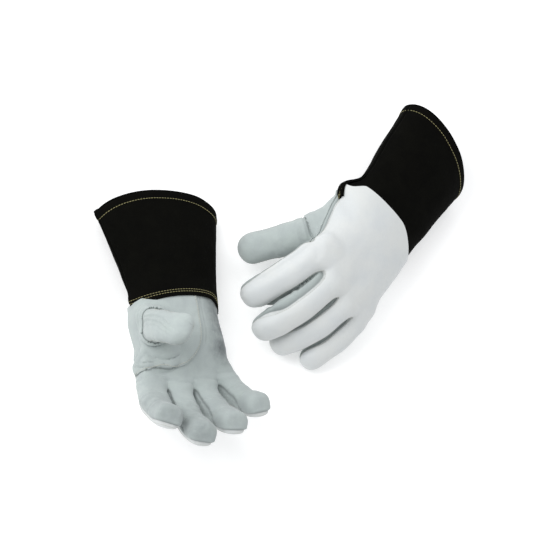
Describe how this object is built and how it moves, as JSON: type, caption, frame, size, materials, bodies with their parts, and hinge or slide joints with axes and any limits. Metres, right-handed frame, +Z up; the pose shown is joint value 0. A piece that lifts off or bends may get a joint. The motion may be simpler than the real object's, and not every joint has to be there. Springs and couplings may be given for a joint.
{
  "type": "welding gloves",
  "caption": "Pair of short leather gauntlet welding gloves: smooth white grain backs, grey split-leather palms and black split-leather cuffs, lying one palm up and one back up.",
  "frame": {"origin": "centre of the footprint of the pair, on the table", "axes": "+Z up from the table, +X from the palm-up right-hand glove towards the back-up left-hand glove"},
  "size_m": [0.4146, 0.3768, 0.1168],
  "materials": {
    "grain_leather": "smooth white goat grain, satin",
    "split_leather": "grey split leather, fine suede nap, matte",
    "cuff_leather": "black split leather, matte"
  },
  "bodies": {
    "left_hand": {"left_hand_back": "grain_leather", "left_hand_palm": "split_leather", "left_palm_patch": "split_leather"},
    "left_cuff": {"left_cuff_back": "cuff_leather", "left_cuff_palm": "cuff_leather", "left_cuff_hem": "cuff_leather"},
    "left_index": {"left_index_back": "grain_leather", "left_index_palm": "split_leather", "left_index_gusset": "split_leather"},
    "left_middle": {"left_middle_back": "grain_leather", "left_middle_palm": "split_leather", "left_middle_gusset_outer": "split_leather", "left_middle_gusset_inner": "split_leather"},
    "left_ring": {"left_ring_back": "grain_leather", "left_ring_palm": "split_leather", "left_ring_gusset_outer": "split_leather", "left_ring_gusset_inner": "split_leather"},
    "left_little": {"left_little_back": "grain_leather", "left_little_palm": "split_leather", "left_little_gusset": "split_leather"},
    "left_thumb": {"left_thumb_back": "split_leather", "left_thumb_front": "split_leather"},
    "right_hand": {"right_hand_back": "grain_leather", "right_hand_palm": "split_leather", "right_palm_patch": "split_leather"},
    "right_cuff": {"right_cuff_back": "cuff_leather", "right_cuff_palm": "cuff_leather", "right_cuff_hem": "cuff_leather"},
    "right_index": {"right_index_back": "grain_leather", "right_index_palm": "split_leather", "right_index_gusset": "split_leather"},
    "right_middle": {"right_middle_back": "grain_leather", "right_middle_palm": "split_leather", "right_middle_gusset_outer": "split_leather", "right_middle_gusset_inner": "split_leather"},
    "right_ring": {"right_ring_back": "grain_leather", "right_ring_palm": "split_leather", "right_ring_gusset_outer": "split_leather", "right_ring_gusset_inner": "split_leather"},
    "right_little": {"right_little_back": "grain_leather", "right_little_palm": "split_leather", "right_little_gusset": "split_leather"},
    "right_thumb": {"right_thumb_back": "split_leather", "right_thumb_front": "split_leather"}
  },
  "joints": [
    {"name": "pair_spacing", "type": "slide", "parent": "left_hand", "child": "right_hand", "axis": [-1, 0, 0], "range_m": [0, 0.1]},
    {"name": "left_wrist_bend", "type": "hinge", "parent": "left_hand", "child": "left_cuff", "pos_m": [0.09517, 0.05237, 0.052], "axis": [-0.6553, 0.5383, 0.5299], "range_deg": [-15, 15], "stiffness_Nm_per_rad": 0.4},
    {"name": "left_index_bend", "type": "hinge", "parent": "left_hand", "child": "left_index", "pos_m": [0.01714, 0.01697, 0.08624], "axis": [0.563, -0.6646, -0.4913], "range_deg": [-15, 16], "stiffness_Nm_per_rad": 0.2},
    {"name": "left_middle_bend", "type": "hinge", "parent": "left_hand", "child": "left_middle", "pos_m": [0.03499, -0.00786, 0.07185], "axis": [0.6535, -0.562, -0.507], "range_deg": [-15, 35], "stiffness_Nm_per_rad": 0.2},
    {"name": "left_ring_bend", "type": "hinge", "parent": "left_hand", "child": "left_ring", "pos_m": [0.05339, -0.02586, 0.05342], "axis": [0.6525, -0.5633, -0.5069], "range_deg": [-15, 35], "stiffness_Nm_per_rad": 0.2},
    {"name": "left_little_bend", "type": "hinge", "parent": "left_hand", "child": "left_little", "pos_m": [0.07246, -0.03701, 0.03206], "axis": [0.6827, -0.5229, -0.5103], "range_deg": [-15, 35], "stiffness_Nm_per_rad": 0.2},
    {"name": "left_thumb_bend", "type": "hinge", "parent": "left_hand", "child": "left_thumb", "pos_m": [0.0219, 0.04951, 0.05458], "axis": [0.2409, -0.9472, -0.2114], "range_deg": [-8, 7], "stiffness_Nm_per_rad": 0.2},
    {"name": "right_wrist_bend", "type": "hinge", "parent": "right_hand", "child": "right_cuff", "pos_m": [-0.12663, -0.02203, 0.029], "axis": [0.975, 0.0784, -0.2079], "range_deg": [-15, 15], "stiffness_Nm_per_rad": 0.4},
    {"name": "right_index_bend", "type": "hinge", "parent": "right_hand", "child": "right_index", "pos_m": [-0.16259, -0.10735, 0.03501], "axis": [-0.9544, 0.233, 0.1867], "range_deg": [-15, 31], "stiffness_Nm_per_rad": 0.2},
    {"name": "right_middle_bend", "type": "hinge", "parent": "right_hand", "child": "right_middle", "pos_m": [-0.13249, -0.10987, 0.03091], "axis": [-0.9762, 0.0852, 0.1993], "range_deg": [-15, 35], "stiffness_Nm_per_rad": 0.2},
    {"name": "right_ring_bend", "type": "hinge", "parent": "right_hand", "child": "right_ring", "pos_m": [-0.1039, -0.10557, 0.02471], "axis": [-0.9771, -0.0506, 0.2068], "range_deg": [-15, 35], "stiffness_Nm_per_rad": 0.2},
    {"name": "right_little_bend", "type": "hinge", "parent": "right_hand", "child": "right_little", "pos_m": [-0.07607, -0.09739, 0.0164], "axis": [-0.9463, -0.2451, 0.211], "range_deg": [-15, 35], "stiffness_Nm_per_rad": 0.2},
    {"name": "right_thumb_bend", "type": "hinge", "parent": "right_hand", "child": "right_thumb", "pos_m": [-0.16636, -0.05433, 0.06617], "axis": [0.1851, 0.9309, 0.3148], "range_deg": [-12, 15], "stiffness_Nm_per_rad": 0.2}
  ]
}
